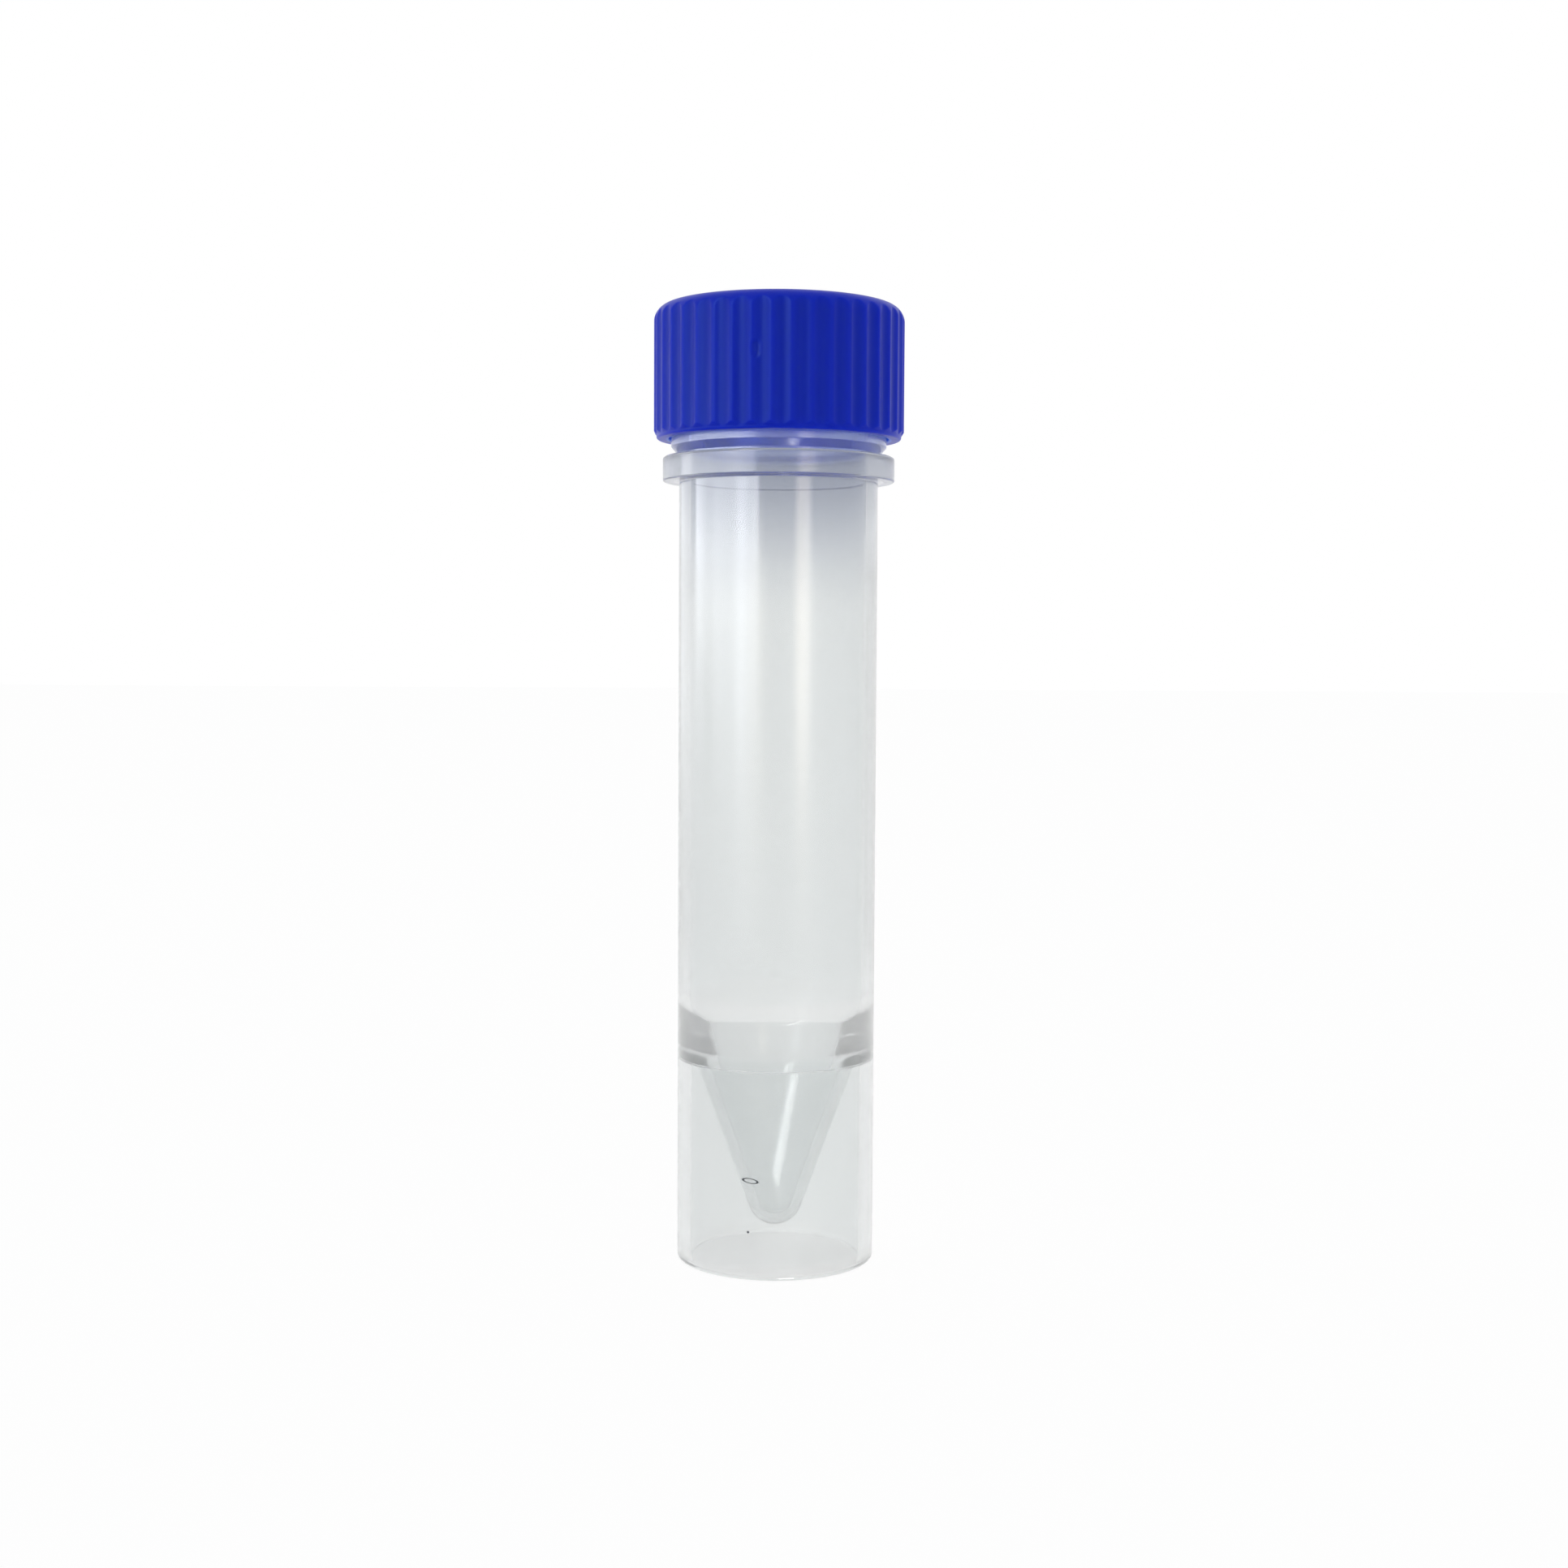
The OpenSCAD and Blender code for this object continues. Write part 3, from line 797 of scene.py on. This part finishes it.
def seen_ray(tree):
    """1 for the camera's rays and those that reach it by a mirror or through the clear wall."""
    path = add(tree, "ShaderNodeLightPath")
    direct = add(tree, "ShaderNodeMath",
                 [path.outputs["Is Camera Ray"], path.outputs["Is Glossy Ray"]],
                 operation="MAXIMUM")
    return add(tree, "ShaderNodeMath", [direct, path.outputs["Is Transmission Ray"]],
               operation="MAXIMUM")


def sky():
    """A white background, and an even grey light on the object."""
    world = bpy.data.worlds.new("studio")
    world.use_nodes = True
    tree = world.node_tree
    tree.nodes.clear()
    shade = add(tree, "ShaderNodeMix", {"Factor": seen_ray(tree), "A": (0.70, 0.71, 0.72, 1.0),
                                        "B": (1.0, 1.0, 1.0, 1.0)}, data_type="RGBA")
    light = add(tree, "ShaderNodeBackground", [shade.outputs["Result"], 1.0])
    add(tree, "ShaderNodeOutputWorld", [light])
    bpy.context.scene.world = world


def softbox(name, bearing, distance, width, feather, low, high, brightness, tint, fill=True,
            through=False):
    """A soft lamp that hangs between two heights at a bearing from the front, in degrees towards
    +X, and faces the object. Its sides fade over the feather, as a diffuser's do, and its lower
    edge fades too: it is made of panels one behind the other, each a little different. Without
    fill it only gives a highlight. Only a narrow lamp shows through the clear plastic, because a
    broad one would drown the wall's own haze."""
    panels = 4
    low_fade = 0.04
    panel_gap = 0.002
    turn = math.radians(bearing)
    for k in range(panels):
        lamp = bpy.data.lights.new(f"{name}_{k}", "AREA")
        lamp.shape = "RECTANGLE"
        lamp.size = width + feather * (k + 0.5) / panels * 2 - feather
        base = low + low_fade * (k + 0.5) / panels
        lamp.size_y = high - base
        lamp.energy = brightness / panels * math.pi * lamp.size * lamp.size_y
        lamp.color = colour(tint)[:3]
        made = placed(f"{name}_{k}", lamp)
        away = distance + panel_gap * k
        made.location = (away * math.sin(turn), -away * math.cos(turn), (base + high) / 2)
        made.rotation_euler = (math.radians(90), 0.0, turn)
        made.visible_camera = False
        made.visible_diffuse = fill
        made.visible_transmission = through


def table_glint():
    """The light of the right lamp that the table throws up, a strip in front of the foot."""
    lamp = bpy.data.lights.new("table_glint", "AREA")
    lamp.shape = "RECTANGLE"
    lamp.size = 3.5 * MM
    lamp.size_y = 29.0 * MM
    brightness = 6.0
    lamp.energy = brightness * math.pi * lamp.size * lamp.size_y
    lamp.spread = math.radians(120)
    made = placed("table_glint", lamp)
    made.location = (10.0 * MM, -19.0 * MM, 0.2 * MM)
    made.rotation_euler = (math.pi, 0.0, math.radians(44.6))
    made.visible_camera = False
    made.visible_diffuse = False


def camera():
    """The eye is close to the tube, a little above its middle, and looks slightly down."""
    lens = bpy.data.cameras.new("camera")
    lens.lens = 50.52
    lens.sensor_width = 36.0
    lens.clip_start = 0.01
    made = placed("camera", lens)
    made.location = (0.58 * MM, -182.9 * MM, 50.55 * MM)
    look_down = 3.39
    made.rotation_euler = (math.radians(90 - look_down), 0.0, 0.0)
    made.rotation_euler.rotate_axis("Z", math.radians(0.31))
    bpy.context.scene.camera = made


def clear_bounces():
    """Lets light run on inside the clear walls, where it is turned back many times."""
    bounces = 32
    cycles = bpy.context.scene.cycles
    cycles.max_bounces = bounces
    cycles.glossy_bounces = bounces
    cycles.transmission_bounces = bounces
    cycles.transparent_max_bounces = bounces


camera()
thread = thread_tree()
revolve = revolve_tree(thread)
make_tube(revolve)
make_cap(fluted_tree(thread))
make_washer(revolve)
floor()
sky()
# The lamps' sizes and places are in metres
softbox("left_window", bearing=-51, distance=0.45, width=0.48, feather=0.08, low=0.0, high=0.11,
        brightness=1.5, tint="#f4f8ff")
softbox("left_top", bearing=-66, distance=0.47, width=0.90, feather=0.08, low=0.04, high=0.13,
        brightness=5.0, tint="#f6f9ff", fill=False)
softbox("left_core", bearing=-43, distance=0.42, width=0.09, feather=0.05, low=0.0, high=0.11,
        brightness=2.2, tint="#f6f9ff", fill=False, through=True)
softbox("left_wall", bearing=-122, distance=0.45, width=0.50, feather=0.08, low=0.0, high=0.11,
        brightness=0.8, tint="#f4f8ff")
softbox("right_strip", bearing=29, distance=0.45, width=0.13, feather=0.06, low=0.0, high=0.13,
        brightness=3.0, tint="#fff2e0", through=True)
softbox("high_window", bearing=-34, distance=0.45, width=0.24, feather=0.08, low=0.16, high=0.30,
        brightness=12.0, tint="#ffffff", fill=False)
table_glint()
bpy.context.scene.view_settings.view_transform = "Standard"
clear_bounces()
